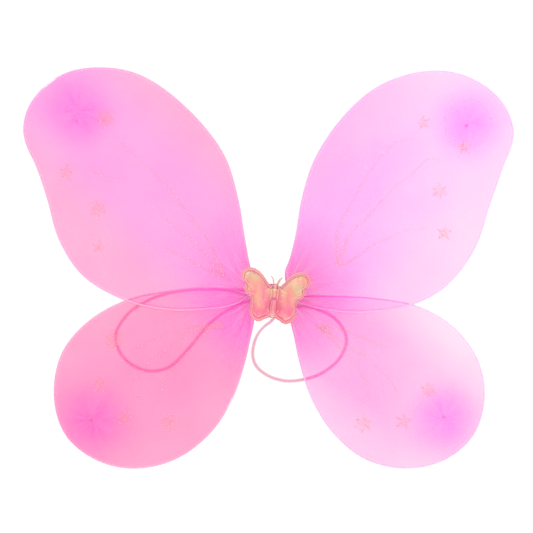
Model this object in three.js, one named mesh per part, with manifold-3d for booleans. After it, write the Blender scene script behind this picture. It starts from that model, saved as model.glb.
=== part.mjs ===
// Dress-up fairy wings for a child. Four bent-wire loops, each in a sheer nylon sleeve, are bound into a
// left and a right bundle. Both bundles bend beside a taped centre, which carries a padded butterfly on the
// outer side and a felt patch on the wearer's side. An elastic arm loop hangs from each bundle.
//
// Millimetres. +X is to the right of someone looking at the butterfly, +Z is up and +Y points to the wearer.
// The origin is the middle of the felt patch's rear face, which rests between the shoulder blades.
import * as THREE from "three";
import { mergeVertices } from "three/addons/utils/BufferGeometryUtils.js";
import Module from "manifold-3d";

const wasm = await Module();
wasm.setup();

// ---- driving dimensions ----
const GAP = 0.3; // clearance between neighbouring pieces
const WIRE_RADIUS = 0.8;
const SLEEVE_INNER = WIRE_RADIUS + GAP; // nylon channel around the wire
const SLEEVE_OUTER = SLEEVE_INNER + 0.3;
const MEMBRANE = 0.5; // the two nylon layers inside a loop, as one sheet

const BEND_X = 11; // distance of each bundle's bend axis from the middle
const BUNDLE_Y = -6.3; // depth of the bend axes
const PLANE_OFFSET = 1.9; // upper loops lie this far in front of the bend axes, lower loops behind
const TAIL_Z = 4.5; // height of the upper tails, depth of the lower ones
const ROOT_X = 20; // where a loop's two legs meet and twist into a tail
const TAIL_END_X = 9.5;
const TWIST_RADIUS = 0.85;

const TWIST_TURNS = 1.5;
const NECK_RADIUS = 4.5; // the nylon stops this far from the root, where the tie holds it

const WRAP_MOUTH_X = 16;
const WRAP_HALF_DEPTH = 5;
const WRAP_TOP = 9.5;
const WRAP_BOTTOM = -11;
const FAN_TRAVEL = 0.9; // how far a tail's inner end moves up or down when its loop is fanned
const TIE = { x: 17.8, outer: 3.2, inner: 2, length: 1.9 };
const KNOT = { radius: 2.4, flatness: 0.6 };

const BINDING = { halfWidth: 5.5, halfHeight: 9, halfDepth: 4.7, corner: 3, bore: 3.2 };
const CENTRE_TWIST = { strands: 3, radius: 0.9, turns: 0.8, inset: 0.4 };
const PATCH = { width: 9, height: 24, thickness: 1.5, corner: 3 };

const STRAP = { width: 4, thickness: 1.2, y: -0.4 };
const LEFT_STRAP_ENDS = [[-15, 4.5], [-15, -4.5]]; // x, z
const RIGHT_STRAP_ENDS = [[9.8, -10.2], [15.3, -10.2]];

// The butterfly stands in front of the centre, turned a little clockwise, with its wings raised.
const BUTTERFLY = { x: 3.9, y: -14, z: -4.4, turn: 6, raise: 16 };
const FILM = 0.4;
const FILM_OVERLAP = 0.2; // each half of a film reaches this far past the middle
const PAD_CENTRE = [17, 3];
const PAD_HEIGHT = 4.8; // the foam's height above its film
const PAD_SLOPES = [0, 25, 48, 70]; // degrees round the dome, from its rim to its top
const PAD_SHARE = { foam: 0.77, cavity: 0.8, shell: 0.84 }; // of the wing's outline
const RIDGE = { radius: 3.3, cavity: 2.9, foam: 2.55, bottom: -16.5, top: 9.5, sink: 1.2, rise: 1.3 };
const HEAD = { z: 13.4, share: 0.9 }; // a share of the ridge's radius
const OPEN_BACK = 0.1; // how far a pad's cavity is cut past the film it opens through
const ANTENNA_RADIUS = 0.6;
const GLUE = { x: 1.4, z: -2, radius: 4 };

const LOOP_STEPS = 46;
const TWIST_STEPS = 14;
const TUBE_SIDES = 6;
const STRAP_STEPS = 40;
const ANTENNA_STEPS = 10;
const RIM_STEPS = 34; // points round half of the butterfly
const DEGREE = Math.PI / 180;

// ---- outlines, as [x, z] points from the leg next to the middle, round the tip, to the other leg ----
const LOBES = {
  upper_left: {
    side: -1,
    upper: true,
    knot: [-213, 190],
    outline: [[-21.5, 22], [-24.8, 39], [-30, 68], [-36, 104], [-52, 154], [-95, 207], [-144, 241],
      [-188, 249], [-229, 241], [-263, 210], [-270.5, 176], [-256, 140], [-244, 104], [-232, 62],
      [-206, 22], [-158, -6], [-110, -16], [-66, -14.8], [-36, -9]],
  },
  upper_right: {
    side: 1,
    upper: true,
    knot: [215.5, 186],
    outline: [[16.5, 22], [22, 39], [28.8, 66], [35, 104], [50, 150], [83, 198], [120, 229],
      [168, 244.5], [211, 241], [251, 215], [266.5, 178], [254, 138], [240, 98], [223, 49],
      [190, 8], [150, -12], [96, -19], [56, -15], [33, -8]],
  },
  lower_left: {
    side: -1,
    upper: false,
    knot: [-197, -139],
    outline: [[-18, -25], [-22, -44], [-29, -75], [-43, -115], [-66, -151], [-104, -180], [-150, -190.5],
      [-192, -181], [-225, -154], [-237.5, -112], [-229, -65], [-200, -30], [-158, -6.5], [-112, 3.5],
      [-66, 6], [-34, 1.5]],
  },
  lower_right: {
    side: 1,
    upper: false,
    knot: [191, -135],
    outline: [[20.5, -20], [26, -42], [33, -75], [46, -114], [69, -151], [104, -180], [149, -190.5],
      [192, -181], [223, -154], [235, -113], [228, -73], [203, -38], [165, -14.5], [120, -5],
      [72, -2], [36, -2]],
  },
};

// Arm loops, as [x, z, y] points between the two stitched ends.
const LEFT_STRAP = [[-30, 5, -0.4], [-60, 6, 0], [-97, 4.5, 0.6], [-132, -5, 1.2], [-158, -22, 1.8],
  [-171, -46, 2.4], [-162, -70, 2.4], [-137, -84, 2.4], [-112, -80, 2], [-90, -59, 1.2], [-66, -31, 0.4],
  [-38, -12, -0.2]];
const RIGHT_STRAP = [[7.4, -19, -1], [2.4, -27.8, -1.6], [-4, -32.8, -1.8], [-10.8, -39.3, -1.9],
  [-15.7, -47.2, -1.9], [-18.9, -58, -1.9], [-19.3, -69, -1.9], [-15.4, -79, -1.9], [-6.5, -87, -1.9],
  [5.3, -92.6, -1.8], [22, -95.3, -1], [52, -89, 0.4], [76, -71, 1.2], [84, -49, 1.2], [72, -27, 0.6],
  [44, -14, 0], [25, -12.5, -0.4]];

// Half of the butterfly, from the head round the right wings to the tail.
const HALF_BUTTERFLY = [[0, 17], [2.3, 16.2], [4.6, 13.9], [8.6, 17.2], [14.2, 23.8], [20.2, 28.9],
  [27.1, 31.7], [34, 30.8], [38.7, 26.5], [39.5, 21.4], [36.9, 16.8], [34.1, 13.8], [34.9, 9.2], [32.6, 4.2],
  [28, 1.2], [26.4, -4], [26.2, -9.8], [26.6, -15], [24.4, -21], [19.4, -25.2], [14.2, -26], [8.6, -23.2],
  [3.8, -21.2], [0, -21]];
const ANTENNA = [[1.7, 17.2, 2.2], [2.6, 19.6, 2.6], [4.4, 22.8, 3.2], [7.4, 24.8, 4]]; // u, v, forward

// ---- geometry and solids ----
function solid(geometry) {
  const bare = geometry.clone();
  bare.deleteAttribute("normal");
  bare.deleteAttribute("uv");
  const merged = mergeVertices(bare, 1e-4);
  return new wasm.Manifold(
    new wasm.Mesh({
      numProp: 3,
      vertProperties: merged.attributes.position.array,
      triVerts: new Uint32Array(merged.index.array),
    }),
  );
}

function geometryOf(made) {
  const mesh = made.getMesh();
  const geometry = new THREE.BufferGeometry();
  geometry.setAttribute("position", new THREE.BufferAttribute(mesh.vertProperties, 3));
  geometry.setIndex(new THREE.BufferAttribute(mesh.triVerts, 1));
  geometry.computeVertexNormals();
  return geometry;
}

function box(low, high) {
  const size = high.map((value, axis) => value - low[axis]);
  const geometry = new THREE.BoxGeometry(...size);
  return geometry.translate(...low.map((value, axis) => value + size[axis] / 2));
}

const polygon = (radius, sides = TUBE_SIDES) =>
  new THREE.Shape(
    Array.from({ length: sides }, (_, i) => {
      const angle = (i / sides) * 2 * Math.PI;
      return new THREE.Vector2(radius * Math.cos(angle), radius * Math.sin(angle));
    }),
  );

const sweep = (shape, curve, steps) =>
  new THREE.ExtrudeGeometry(shape, { extrudePath: curve, steps, bevelEnabled: false });

// A cylinder along the X or Y axis, centred on a point.
function cylinder(axis, radius, length, [x, y, z], sides = 16) {
  const geometry = new THREE.CylinderGeometry(radius, radius, length, sides);
  if (axis === "x") geometry.rotateZ(Math.PI / 2);
  return geometry.translate(x, y, z);
}

// A flat shape stood up in the XZ plane, from depth `front` back to depth `rear`.
function standing(shape, front, rear, bevel = {}) {
  const settings = { depth: rear - front, bevelEnabled: false, ...bevel };
  return new THREE.ExtrudeGeometry(shape, settings).rotateX(Math.PI / 2).translate(0, rear, 0);
}

function roundedRectangle(width, height, radius) {
  const [w, h] = [width / 2, height / 2];
  const shape = new THREE.Shape();
  shape.moveTo(-w + radius, -h);
  shape.lineTo(w - radius, -h).absarc(w - radius, -h + radius, radius, -Math.PI / 2, 0);
  shape.lineTo(w, h - radius).absarc(w - radius, h - radius, radius, 0, Math.PI / 2);
  shape.lineTo(-w + radius, h).absarc(-w + radius, h - radius, radius, Math.PI / 2, Math.PI);
  shape.lineTo(-w, -h + radius).absarc(-w + radius, -h + radius, radius, Math.PI, 1.5 * Math.PI);
  return shape;
}

const smooth = (points) => new THREE.CatmullRomCurve3(points, false, "centripetal");

// A strand twisted along X from `start` to `end`, its turns starting at `phase`.
class Strand extends THREE.Curve {
  constructor(start, end, [y, z], radius, turns, phase) {
    super();
    Object.assign(this, { start, end, y, z, radius, turns, phase });
  }
  getPoint(t) {
    const angle = this.phase + t * this.turns * 2 * Math.PI;
    return new THREE.Vector3(
      this.start + t * (this.end - this.start),
      this.y + this.radius * Math.cos(angle),
      this.z + this.radius * Math.sin(angle),
    );
  }
}

// ---- materials ----
const material = (color, roughness, metalness = 0, extra = {}) =>
  new THREE.MeshStandardMaterial({ color, roughness, metalness, ...extra });
const MATERIALS = {
  wire: material(0xf7b6e2, 0.4, 0.2),
  nylon: material(0xff9bd8, 0.55, 0, { transparent: true, opacity: 0.6 }),
  thread: material(0xe85fb4, 0.8),
  tape: material(0xf07fc6, 0.7),
  felt: material(0xf59ad2, 0.95),
  elastic: material(0xe8a3bd, 0.75),
  film: material(0xf6b9a4, 0.25, 0.1),
  foam: material(0xfff2f6, 0.95),
  glue: material(0xf3e9dc, 0.5),
};

function piece(name, made, look) {
  const geometry = made.isBufferGeometry ? made : geometryOf(made);
  const mesh = new THREE.Mesh(geometry, MATERIALS[look]);
  mesh.name = name;
  return mesh;
}

// ---- one wire loop with its nylon, root tie and tip knot, in a group at the depth of its plane ----
function lobe(name, { side, upper, knot, outline }) {
  const rootX = side * ROOT_X;
  const rootZ = upper ? TAIL_Z : -TAIL_Z;
  const firstLegUp = upper ? 1 : -1; // the leg next to the middle leaves away from the other loop
  const legEnd = (sign) => new THREE.Vector3(rootX, 0, rootZ + sign * firstLegUp * TWIST_RADIUS);
  const path = smooth([legEnd(1), ...outline.map(([x, z]) => new THREE.Vector3(x, 0, z)), legEnd(-1)]);

  const strands = [0, 1].map((i) => {
    const phase = Math.PI / 2 + i * Math.PI;
    const strand = new Strand(rootX, side * TAIL_END_X, [0, rootZ], TWIST_RADIUS, TWIST_TURNS, phase);
    return solid(sweep(polygon(WIRE_RADIUS), strand, TWIST_STEPS));
  });
  const loopWire = solid(sweep(polygon(WIRE_RADIUS), path, LOOP_STEPS));
  const wire = loopWire.add(strands[0]).add(strands[1]);

  const inside = path.getSpacedPoints(LOOP_STEPS).map((p) => new THREE.Vector2(p.x, p.z));
  const membrane = solid(standing(new THREE.Shape(inside), -MEMBRANE / 2, MEMBRANE / 2));
  const neck = solid(cylinder("y", NECK_RADIUS, 2 * NECK_RADIUS, [rootX, 0, rootZ]));
  const cover = solid(sweep(polygon(SLEEVE_OUTER), path, LOOP_STEPS))
    .add(membrane)
    .subtract(solid(sweep(polygon(SLEEVE_INNER), path, LOOP_STEPS)))
    .subtract(neck);

  const tieAt = [side * TIE.x, 0, rootZ];
  const tieBore = solid(cylinder("x", TIE.inner, 2 * TIE.length, tieAt));
  const tie = solid(cylinder("x", TIE.outer, TIE.length, tieAt)).subtract(tieBore);

  const knotShape = new THREE.SphereGeometry(KNOT.radius, 10, 8).scale(1, KNOT.flatness, 1);
  knotShape.translate(knot[0], MEMBRANE / 2 + GAP + KNOT.radius * KNOT.flatness, knot[1]);

  const group = new THREE.Group();
  group.position.y = BUNDLE_Y + (upper ? -PLANE_OFFSET : PLANE_OFFSET);
  group.add(
    piece(`${name}_wire`, wire, "wire"),
    piece(`${name}_nylon`, cover, "nylon"),
    piece(`${name}_root_tie`, tie, "thread"),
    piece(`${name}_tip_knot`, solid(knotShape), "thread"),
  );
  return group;
}

// ---- the bound bundle of one side: round at its bend axis, with a pocket for each tail ----
function rootWrap(name, side) {
  const [mouth, bend] = [side * WRAP_MOUTH_X, side * BEND_X];
  const height = WRAP_TOP - WRAP_BOTTOM;
  const body = solid(box([Math.min(mouth, bend), -WRAP_HALF_DEPTH, WRAP_BOTTOM],
    [Math.max(mouth, bend), WRAP_HALF_DEPTH, WRAP_TOP]));
  const barrel = new THREE.CylinderGeometry(WRAP_HALF_DEPTH, WRAP_HALF_DEPTH, height, 24);
  const end = solid(barrel.rotateX(Math.PI / 2).translate(bend, 0, WRAP_BOTTOM + height / 2));
  const tailRadius = TWIST_RADIUS + WIRE_RADIUS + GAP;
  const pocket = (y, z) => {
    const [inner, outer] = [side * (TAIL_END_X - 0.6), side * (WRAP_MOUTH_X + 1)];
    return solid(box([Math.min(inner, outer), y - tailRadius, z - tailRadius - FAN_TRAVEL],
      [Math.max(inner, outer), y + tailRadius, z + tailRadius + FAN_TRAVEL]));
  };
  const made = body.add(end).subtract(pocket(-PLANE_OFFSET, TAIL_Z)).subtract(pocket(PLANE_OFFSET, -TAIL_Z));
  const mesh = piece(name, made, "tape");
  mesh.position.y = BUNDLE_Y;
  return mesh;
}

// ---- the taped centre, the wires inside it and the felt patch ----
function centre() {
  const { halfWidth, halfHeight, halfDepth, corner, bore } = BINDING;
  const outer = new THREE.ExtrudeGeometry(roundedRectangle(2 * halfDepth, 2 * halfHeight, corner), {
    depth: 2 * halfWidth,
    bevelEnabled: false,
    curveSegments: 6,
  });
  outer.rotateX(Math.PI / 2).rotateZ(Math.PI / 2).center();
  const sleeve = solid(outer).subtract(solid(cylinder("x", bore, 4 * halfWidth, [0, 0, 0])));

  const end = halfWidth - CENTRE_TWIST.inset;
  const strands = Array.from({ length: CENTRE_TWIST.strands }, (_, i) => {
    const phase = (i * 2 * Math.PI) / CENTRE_TWIST.strands;
    const strand = new Strand(-end, end, [0, 0], CENTRE_TWIST.radius, CENTRE_TWIST.turns, phase);
    return solid(sweep(polygon(WIRE_RADIUS), strand, TWIST_STEPS));
  });
  const twist = strands.reduce((all, strand) => all.add(strand));

  const group = new THREE.Group();
  group.position.y = BUNDLE_Y;
  group.add(piece("centre_binding", sleeve, "tape"), piece("centre_wire_twist", twist, "wire"));
  const patchShape = roundedRectangle(PATCH.width, PATCH.height, PATCH.corner);
  const patch = piece("back_patch", standing(patchShape, -PATCH.thickness, 0, { curveSegments: 4 }), "felt");
  return [group, patch];
}

// ---- an elastic arm loop, its two ends stitched to the back of a bundle ----
function strap(name, ends, middle) {
  const [first, last] = ends.map(([x, z]) => new THREE.Vector3(x, STRAP.y, z));
  const points = [first, ...middle.map(([x, z, y]) => new THREE.Vector3(x, y, z)), last];
  const [t, w] = [STRAP.thickness / 2, STRAP.width / 2];
  const band = new THREE.Shape([[-t, -w], [t, -w], [t, w], [-t, w]].map((p) => new THREE.Vector2(...p)));
  return piece(name, sweep(band, smooth(points), STRAP_STEPS), "elastic");
}

// ---- the padded butterfly ----
// The half outline, scaled about the middle of the wing.
function halfRim(scale, from = 0) {
  const middle = new THREE.Vector3(...PAD_CENTRE, 0);
  const points = HALF_BUTTERFLY.slice(from).map(([u, v]) => new THREE.Vector3(u, v, 0));
  return smooth(points.map((p) => p.lerp(middle, 1 - scale))).getPoints(RIM_STEPS);
}

// The half outline as a flat shape that reaches a little past the middle, so that two halves join.
function filmShape() {
  const rim = halfRim(1);
  rim.push(new THREE.Vector3(-FILM_OVERLAP, rim.at(-1).y, 0), new THREE.Vector3(-FILM_OVERLAP, rim[0].y, 0));
  return new THREE.Shape(rim.reverse());
}

// A domed pad over the wing part of the half outline, rising by `height` from the depth `base`.
function dome(scale, height, base) {
  const rim = halfRim(scale, 2);
  const slopes = PAD_SLOPES.map((degrees) => degrees * DEGREE);
  const points = [];
  for (const slope of slopes) {
    const reach = Math.cos(slope);
    for (const p of rim) {
      const u = PAD_CENTRE[0] + (p.x - PAD_CENTRE[0]) * reach;
      const v = PAD_CENTRE[1] + (p.y - PAD_CENTRE[1]) * reach;
      points.push(u, base - height * Math.sin(slope), v);
    }
  }
  const count = rim.length;
  const top = points.length / 3;
  points.push(PAD_CENTRE[0], base - height, PAD_CENTRE[1], PAD_CENTRE[0], base, PAD_CENTRE[1]);
  const faces = [];
  for (let i = 0; i < count; i++) {
    const next = (i + 1) % count;
    for (let ring = 0; ring + 1 < slopes.length; ring++) {
      const [low, high] = [ring * count, (ring + 1) * count];
      faces.push(low + i, high + i, low + next, low + next, high + i, high + next);
    }
    const last = (slopes.length - 1) * count;
    faces.push(last + i, top, last + next, i, next, top + 1);
  }
  const geometry = new THREE.BufferGeometry();
  geometry.setAttribute("position", new THREE.Float32BufferAttribute(points, 3));
  geometry.setIndex(faces);
  return solid(geometry);
}

// Turns a right-hand half into its raised place on the given side.
function raised(made, side) {
  const mesh = made.rotate([0, 0, -BUTTERFLY.raise]);
  return side > 0 ? mesh : mesh.mirror([1, 0, 0]);
}

// The body and the head, as a ridge that stands on the depth `base`.
function bodyRidge(radius, base) {
  const length = RIDGE.top - RIDGE.bottom;
  const ridge = new THREE.CapsuleGeometry(radius, length, 3, 10).rotateX(Math.PI / 2).scale(1, RIDGE.rise, 1);
  const head = new THREE.SphereGeometry(radius * HEAD.share, 10, 8).scale(1, RIDGE.rise, 1);
  ridge.translate(0, base, RIDGE.bottom + length / 2);
  head.translate(0, base, HEAD.z);
  const behind = new THREE.BoxGeometry(4 * radius, 4 * radius, 4 * length).translate(0, base + 2 * radius, 0);
  return solid(ridge).add(solid(head)).subtract(solid(behind));
}

function antenna(side) {
  const path = smooth(ANTENNA.map(([u, v, forward]) => new THREE.Vector3(side * u, -forward, v)));
  return sweep(polygon(ANTENNA_RADIUS, 5), path, ANTENNA_STEPS);
}

function butterfly() {
  const base = -FILM - GAP; // depth of the front film's border, from the back film's rear face
  const ridgeBase = base - RIDGE.sink;
  const both = (half) => raised(half, 1).add(raised(half, -1));

  const back = both(solid(standing(filmShape(), -FILM, 0)));
  const border = both(solid(standing(filmShape(), base - FILM, base)));
  const shell = border
    .add(both(dome(PAD_SHARE.shell, PAD_HEIGHT + GAP + FILM, base)))
    .add(bodyRidge(RIDGE.radius, ridgeBase))
    .subtract(both(dome(PAD_SHARE.cavity, PAD_HEIGHT + GAP, base + OPEN_BACK)))
    .subtract(bodyRidge(RIDGE.cavity, ridgeBase + OPEN_BACK));
  const foam = (side) => raised(dome(PAD_SHARE.foam, PAD_HEIGHT, base), side);

  const group = new THREE.Group();
  group.position.set(BUTTERFLY.x, BUTTERFLY.y, BUTTERFLY.z);
  group.rotation.y = BUTTERFLY.turn * DEGREE;
  group.add(
    piece("butterfly_back_film", back, "film"),
    piece("butterfly_front_film", shell, "film"),
    piece("butterfly_foam_left", foam(-1), "foam"),
    piece("butterfly_foam_right", foam(1), "foam"),
    piece("butterfly_foam_body", bodyRidge(RIDGE.foam, ridgeBase - 0.02), "foam"),
    piece("butterfly_antenna_left", antenna(-1), "film"),
    piece("butterfly_antenna_right", antenna(1), "film"),
  );
  const glueFront = BUTTERFLY.y + GAP;
  const glueRear = BUNDLE_Y - WRAP_HALF_DEPTH;
  const glueAt = [GLUE.x, (glueRear + glueFront) / 2, GLUE.z];
  const glue = cylinder("y", GLUE.radius, glueRear - glueFront, glueAt);
  return [group, piece("butterfly_glue_pad", glue, "glue")];
}

// ---- assembly ----
const wings = new THREE.Group();
wings.name = "fairy_wings";
wings.add(...centre(), ...butterfly());
for (const [name, shape] of Object.entries(LOBES)) wings.add(lobe(name, shape));
wings.add(rootWrap("left_root_wrap", -1), rootWrap("right_root_wrap", 1));
wings.add(
  strap("left_strap", LEFT_STRAP_ENDS, LEFT_STRAP),
  strap("right_strap", RIGHT_STRAP_ENDS, RIGHT_STRAP),
);
export default wings;
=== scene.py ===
"""Looks for the fairy wings: sheer nylon on pink wire, glitter veins, a padded film butterfly and elastic.

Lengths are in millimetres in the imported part's own frame until `add_mesh` turns them into metres.
Places come from the CAD nodes: ties, knots, wraps, straps and the centre lines of the bent wires.
"""

import math
import random

import bmesh
import bpy
import numpy as np
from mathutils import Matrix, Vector, kdtree, noise


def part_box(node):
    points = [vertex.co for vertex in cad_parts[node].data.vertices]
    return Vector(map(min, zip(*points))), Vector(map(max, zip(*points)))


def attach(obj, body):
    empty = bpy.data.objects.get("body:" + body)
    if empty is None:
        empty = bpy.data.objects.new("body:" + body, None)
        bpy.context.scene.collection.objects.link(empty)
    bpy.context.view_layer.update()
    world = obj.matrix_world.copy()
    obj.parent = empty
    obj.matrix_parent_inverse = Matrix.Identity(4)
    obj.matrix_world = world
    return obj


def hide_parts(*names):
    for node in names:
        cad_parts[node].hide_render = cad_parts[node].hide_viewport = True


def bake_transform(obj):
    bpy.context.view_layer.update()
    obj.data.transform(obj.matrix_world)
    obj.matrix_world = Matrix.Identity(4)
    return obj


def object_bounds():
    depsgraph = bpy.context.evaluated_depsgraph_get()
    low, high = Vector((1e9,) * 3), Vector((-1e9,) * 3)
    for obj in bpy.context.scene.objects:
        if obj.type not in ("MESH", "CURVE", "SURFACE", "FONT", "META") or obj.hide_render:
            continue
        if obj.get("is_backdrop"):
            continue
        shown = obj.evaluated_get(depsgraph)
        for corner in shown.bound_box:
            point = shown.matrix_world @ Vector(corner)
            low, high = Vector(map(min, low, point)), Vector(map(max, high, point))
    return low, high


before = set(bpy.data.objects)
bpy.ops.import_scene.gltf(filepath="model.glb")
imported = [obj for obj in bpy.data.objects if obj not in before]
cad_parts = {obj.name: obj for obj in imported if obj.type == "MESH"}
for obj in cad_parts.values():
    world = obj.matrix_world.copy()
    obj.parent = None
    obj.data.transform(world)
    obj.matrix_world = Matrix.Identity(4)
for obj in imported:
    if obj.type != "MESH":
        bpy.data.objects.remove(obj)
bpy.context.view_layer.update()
MM = 0.001
LOBES = ("upper_left", "upper_right", "lower_left", "lower_right")

# ---- sizes ----
WIRE = 0.8  # wire radius
RIM = 1.02  # radius of the nylon where it turns round the wire
TWIST = 0.85  # from a twisted tail's axis to each of its two wires
FORK = 2.2  # from a tie, outwards, to where the tail's two wires part
TAIL_END = 9.7  # from the middle, across, to the inner end of a tail
MOUTH = ((-1.3, 2.5), (0, 1.85), (FORK, 2.3))  # a sleeve's gathered end: out from the tie, half its width
BRIM = (0, 0.1, 0.4, 1.0, 2.2)  # columns close to a sleeve's edge, where it turns round the wire
LAYER_ROOM = 1.8  # how far a sleeve may swell from its plane before it meets the sleeve behind or in front
# From each tip knot to the middle of the nylon's dark gather, across and up.
GATHER_OFFSETS = {"upper_left": (1, 12), "upper_right": (2, 2), "lower_left": (2, 3), "lower_right": (0, -1)}
ROWS, COLUMNS = 120, 116  # grid of each nylon layer, from root to tip and from edge to edge
PLEATS = 23  # pleats gathered at each root
THREAD = 0.32  # radius of the root's thread
FLAKE = 0.4  # radius of a glitter flake
PRINT = 1.5  # half the width of a printed vein
FILM = 0.25  # thickness of the butterfly's film
BORDER = 3.4  # flat, stitched edge of the butterfly
WELD = 0.004  # points closer than this become one where two layers of a sheet meet
CLOTH_STEP = 0.7  # mesh of the simulated film
CLOTH_SCALE = 0.1  # scene units per millimetre while the film is simulated
CLOTH_FRAMES = 40
STRAP_WIDTH = 4.0
FLAKE_GAP = 0.62  # between the places along a vein that may hold flakes
BACKDROP = 1.02  # brightness of the backdrop as the camera sees it


# ---- curves and meshes ----
def unit(vectors):
    return vectors / np.linalg.norm(vectors, axis=-1, keepdims=True)


def lengths(vectors):
    return np.linalg.norm(vectors, axis=1)


def run_length(line):
    return lengths(np.diff(line, axis=0)).sum()


def right_of(line):
    """Unit vectors that point to the right of a plane line, as it runs."""
    along = unit(np.gradient(line, axis=0))
    return np.stack([along[:, 1], -along[:, 0]], axis=1)


def polar(away):
    """Length and heading of each plane vector."""
    return lengths(away), np.arctan2(away[:, 1], away[:, 0])


def bell(gap, width):
    """1 where the gap is nothing, falling smoothly to 0 over about twice the width."""
    return np.exp(-((gap / width) ** 2))


def dome(share):
    """Height of a round dome of height 1 at a share of its radius."""
    return np.sqrt(np.clip(1 - share ** 2, 0, 1))


def smooth_step(value, low, high):
    t = np.clip((value - low) / (high - low), 0, 1)
    return t * t * (3 - 2 * t)


def full_turn(count):
    """Angles spread evenly over one turn."""
    return np.linspace(0, 2 * math.pi, count, endpoint=False)


def resample(points, shares):
    """Points at the given shares of a polyline's length."""
    run = np.concatenate([[0], np.cumsum(lengths(np.diff(points, axis=0)))])
    return np.stack([np.interp(shares * run[-1], run, axis) for axis in points.T], axis=1)


def spline(points, count):
    """A centripetal Catmull-Rom curve through the points, as `count` evenly spaced points."""
    p = np.asarray(points, float)
    p = np.vstack([2 * p[0] - p[1], p, 2 * p[-1] - p[-2]])
    fine = []
    for first in range(len(p) - 3):
        near = p[first:first + 4]
        knots = np.concatenate([[0], np.cumsum(lengths(np.diff(near, axis=0)) ** 0.5)])
        t = np.linspace(knots[1], knots[2], 20, endpoint=False)[:, None]
        for spans in (((0, 1), (1, 2), (2, 3)), ((0, 2), (1, 3)), ((1, 2),)):
            near = [((knots[j] - t) * a + (t - knots[i]) * b) / (knots[j] - knots[i])
                    for (i, j), a, b in zip(spans, near, near[1:])]
        fine.append(near[0])
    fine.append(p[-2][None])
    return resample(np.vstack(fine), np.linspace(0, 1, count))


def add_mesh(name, points, faces, look, slot, body=None, weld=0.0):
    """Makes one mesh object from millimetre points, with its faces turned outwards, riding on a body."""
    mesh = bpy.data.meshes.new(name)
    mesh.from_pydata((np.asarray(points, float) * MM).tolist(), [], faces)
    work = bmesh.new()
    work.from_mesh(mesh)
    if weld:
        bmesh.ops.remove_doubles(work, verts=work.verts, dist=weld * MM)
    bmesh.ops.recalc_face_normals(work, faces=work.faces)
    for face in work.faces:
        face.smooth = True
    work.to_mesh(mesh)
    work.free()
    mesh.materials.append(look)
    piece = bpy.data.objects.new(name, mesh)
    bpy.context.scene.collection.objects.link(piece)
    if body:
        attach(piece, body)
    return piece


def grid_faces(rows, columns, first=0, wrap=False):
    """Quads of a grid of points stored row by row; `wrap` joins its last column to its first."""
    faces = []
    for i in range(rows - 1):
        for j in range(columns if wrap else columns - 1):
            k = (j + 1) % columns
            a, b = first + i * columns, first + (i + 1) * columns
            faces.append((a + j, a + k, b + k, b + j))
    return faces


def tube(rings):
    """Points and faces of a closed tube through rings of equally many points."""
    sides, last = len(rings[0]), (len(rings) - 1) * len(rings[0])
    ends = [tuple(range(sides)), tuple(last + k for k in reversed(range(sides)))]
    return np.vstack(rings), grid_faces(len(rings), sides, wrap=True) + ends


def sweep(path, section, up, scale=None, twist=None):
    """Carries a closed [across, up] section along a path, and closes both ends. Returns points and faces."""
    path = np.asarray(path, float)
    section = np.asarray(section, float)
    tangents = unit(np.gradient(path, axis=0))
    normal = np.asarray(up, float)
    rings = []
    for i, (at, along) in enumerate(zip(path, tangents)):
        normal = unit(normal - along * (normal @ along))
        side = np.cross(along, normal)
        turn = 0.0 if twist is None else twist[i]
        across = side * math.cos(turn) + normal * math.sin(turn)
        upward = normal * math.cos(turn) - side * math.sin(turn)
        size = 1.0 if scale is None else scale[i]
        rings.append(at + size * (section[:, :1] * across + section[:, 1:] * upward))
    return tube(rings)


def flat_ring(x, y, z):
    """Points at x and z, all at one depth y."""
    return np.stack([x, np.full(len(x), y), z], axis=1)


def circle(radius, sides):
    turn = full_turn(sides)
    return np.stack([radius * np.cos(turn), radius * np.sin(turn)], axis=1)


def join(parts):
    """Several (points, faces) as one."""
    points, faces, first = [], [], 0
    for part_points, part_faces in parts:
        points.append(part_points)
        faces += [tuple(first + k for k in face) for face in part_faces]
        first += len(part_points)
    return np.vstack(points), faces


def points_of(piece):
    """A piece's points in millimetres."""
    points = np.empty(3 * len(piece.data.vertices))
    piece.data.vertices.foreach_get("co", points)
    return points.reshape(-1, 3) / MM


def paint(piece, **marks):
    """Stores named floats, one for each point of a piece, for its material to read."""
    for name, amounts in marks.items():
        layer = piece.data.attributes.new(name, "FLOAT", "POINT")
        layer.data.foreach_set("value", np.asarray(amounts, float))


def capsules(starts, ends, radius, sides=6):
    """One short rounded stitch from each start to each end."""
    turn = full_turn(sides)[:, None]
    parts = []
    for a, b in zip(starts, ends):
        along = unit(b - a)
        side = unit(np.cross(along, (0.31, 0.9, 0.3)))
        ring = np.cos(turn) * side + np.sin(turn) * np.cross(along, side)
        places = ((a, -0.7, 0.5), (a, 0.2, 1), (b, -0.2, 1), (b, 0.7, 0.5))
        parts.append(tube([end + radius * (shift * along + size * ring) for end, shift, size in places]))
    return join(parts)


# ---- places, from the CAD nodes ----
def box_mm(node):
    return tuple(np.array(corner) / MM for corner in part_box(node))


def centre(node):
    low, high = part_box(node)
    return np.array((low + high) / 2) / MM


def ring_centres(node, reach, keep):
    """Centres of a swept CAD node's rings of corners. Corners within `reach` of each other share a ring."""
    corners = {tuple(np.round(np.array(v.co) / MM, 2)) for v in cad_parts[node].data.vertices}
    corners = sorted(c for c in corners if keep(np.array(c)))
    tree = kdtree.KDTree(len(corners))
    for index, corner in enumerate(corners):
        tree.insert(corner, index)
    tree.balance()
    centres, seen = [], set()
    for index in range(len(corners)):
        group, waiting = [], [index]
        while waiting:
            k = waiting.pop()
            if k not in seen:
                seen.add(k)
                group.append(corners[k])
                waiting += [found[1] for found in tree.find_range(corners[k], reach)]
        if group:
            centres.append(np.mean(group, axis=0))
    return centres


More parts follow.
